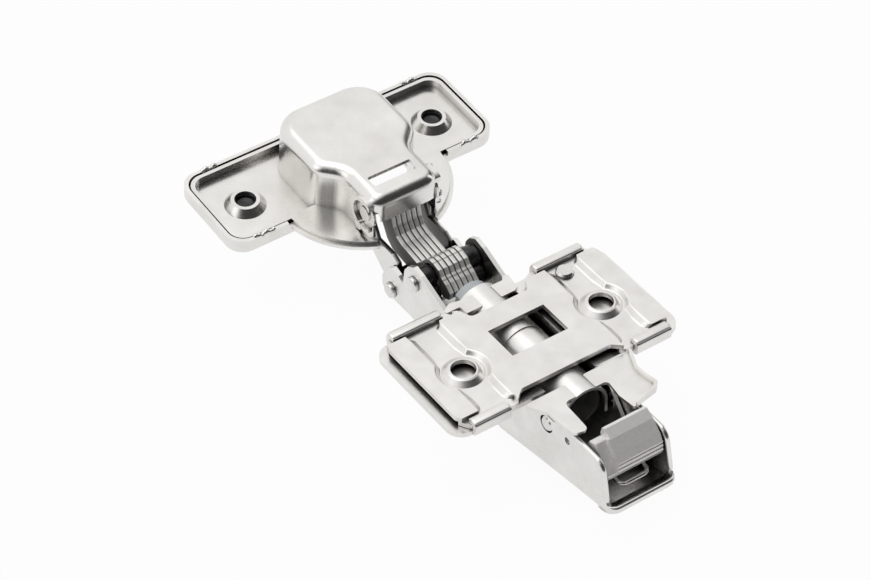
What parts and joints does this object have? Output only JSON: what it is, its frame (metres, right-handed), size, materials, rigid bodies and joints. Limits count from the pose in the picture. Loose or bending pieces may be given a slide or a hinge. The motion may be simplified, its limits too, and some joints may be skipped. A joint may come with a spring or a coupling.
{
  "type": "concealed cabinet hinge",
  "caption": "Soft-close concealed cabinet hinge: a clip-on arm under a screwed mounting plate, a laminated link and a U link, and a drawn cup with a wide flange, shown open.",
  "frame": {"origin": "midway between the two screw holes of the mounting plate, on the plane that lies against the cabinet side", "axes": "+Z into the cabinet side that the plate is screwed to, +Y out of the cabinet towards the door cup, X along the line of the two plate screws"},
  "size_m": [0.0628, 0.1127, 0.0291],
  "materials": {
    "plate_steel": "satin nickel plate",
    "bracket_steel": "satin nickel plate",
    "arm_steel": "satin nickel plate",
    "cup_steel": "satin nickel plate, polished on the drawn edges",
    "face_steel": "satin nickel plate",
    "link_steel": "satin nickel plate",
    "leaf_steel": "blanked steel leaves with polished edges",
    "pin_steel": "polished steel",
    "screw_steel": "plated steel",
    "black_plastic": "glossy black",
    "grey_plastic": "light grey",
    "lever_zinc": "satin grey"
  },
  "bodies": {
    "mounting_plate": {"base_plate": "plate_steel"},
    "bracket": {"clamp_bracket": "bracket_steel", "damper_cover": "bracket_steel", "damper_cylinder": "black_plastic", "lever_pin": "pin_steel"},
    "height_cam": {"height_cam": "screw_steel"},
    "plunger": {"damper_plunger": "grey_plastic"},
    "lever": {"release_lever": "lever_zinc", "lever_spring": "pin_steel"},
    "tilt_stubs": {"tilt_stub_left": "pin_steel", "tilt_stub_right": "pin_steel"},
    "arm": {"hinge_arm": "arm_steel", "arm_pin_front": "pin_steel", "arm_pin_rear": "pin_steel", "spacer_left": "black_plastic", "spacer_right": "black_plastic"},
    "depth_cam": {"depth_cam": "screw_steel"},
    "side_screw": {"side_screw": "screw_steel"},
    "outer_link": {"outer_link": "link_steel"},
    "cup": {"cup_body": "cup_steel", "face_plate": "face_steel", "cup_pin_inner": "pin_steel", "cup_stub_left": "pin_steel", "cup_stub_right": "pin_steel", "pin_bush_left": "pin_steel", "pin_bush_right": "pin_steel"},
    "laminated_link": {"inner_link_1": "leaf_steel", "inner_link_2": "leaf_steel", "inner_link_3": "leaf_steel", "inner_link_4": "leaf_steel", "inner_link_5": "leaf_steel", "inner_link_6": "leaf_steel"}
  },
  "joints": [
    {"name": "door_swing", "type": "hinge", "parent": "outer_link", "child": "cup", "pos_m": [0, 0.04654, -0.00215], "axis": [1, 0, 0], "range_deg": [-127.1, 8.1]},
    {"name": "outer_link_swing", "type": "hinge", "parent": "arm", "child": "outer_link", "pos_m": [0, 0.0362, -0.0121], "axis": [1, 0, 0], "range_deg": [-2.21, 33.26]},
    {"name": "laminated_link_swing", "type": "hinge", "parent": "cup", "child": "laminated_link", "pos_m": [0, 0.04487, 0.00165], "axis": [1, 0, 0], "range_deg": [-6.75, 104.47]},
    {"name": "height_slide", "type": "slide", "parent": "mounting_plate", "child": "bracket", "axis": [1, 0, 0], "range_m": [-0.002, 0.002]},
    {"name": "height_cam_turn", "type": "hinge", "parent": "mounting_plate", "child": "height_cam", "pos_m": [0.01575, 0.0112, -0.004], "axis": [0, 0, 1], "range_deg": [-80, 80]},
    {"name": "depth_slide", "type": "slide", "parent": "bracket", "child": "tilt_stubs", "axis": [0, 1, 0], "range_m": [-0.00104, 0.00104]},
    {"name": "depth_cam_turn", "type": "hinge", "parent": "arm", "child": "depth_cam", "pos_m": [0, -0.006, -0.0175], "axis": [0, 0, 1], "range_deg": [-60.5, 60.5]},
    {"name": "side_tilt", "type": "hinge", "parent": "tilt_stubs", "child": "arm", "pos_m": [0, -0.0149, -0.0069], "axis": [1, 0, 0], "range_deg": [-1, 1.3]},
    {"name": "side_screw_turn", "type": "hinge", "parent": "arm", "child": "side_screw", "pos_m": [0, 0.011, -0.0168], "axis": [0, 0, 1], "range_deg": [-61, 79]},
    {"name": "plunger_slide", "type": "slide", "parent": "bracket", "child": "plunger", "axis": [0, 1, 0], "range_m": [-0.00301, 0.0002]},
    {"name": "release_lever_turn", "type": "hinge", "parent": "bracket", "child": "lever", "pos_m": [0, -0.024, -0.0109], "axis": [1, 0, 0], "range_deg": [0, 15], "stiffness_Nm_per_rad": 0.02, "springref_deg": -5.73}
  ],
  "couplings": [
    {"joint": "outer_link_swing", "follows": "door_swing", "ratio": -0.2609},
    {"joint": "laminated_link_swing", "follows": "door_swing", "ratio": -0.82114},
    {"joint": "plunger_slide", "follows": "door_swing", "m_per_rad": 0.00135},
    {"joint": "height_cam_turn", "follows": "height_slide", "rad_per_m": 690},
    {"joint": "depth_cam_turn", "follows": "depth_slide", "rad_per_m": -1006},
    {"joint": "side_screw_turn", "follows": "side_tilt", "ratio": 60}
  ]
}
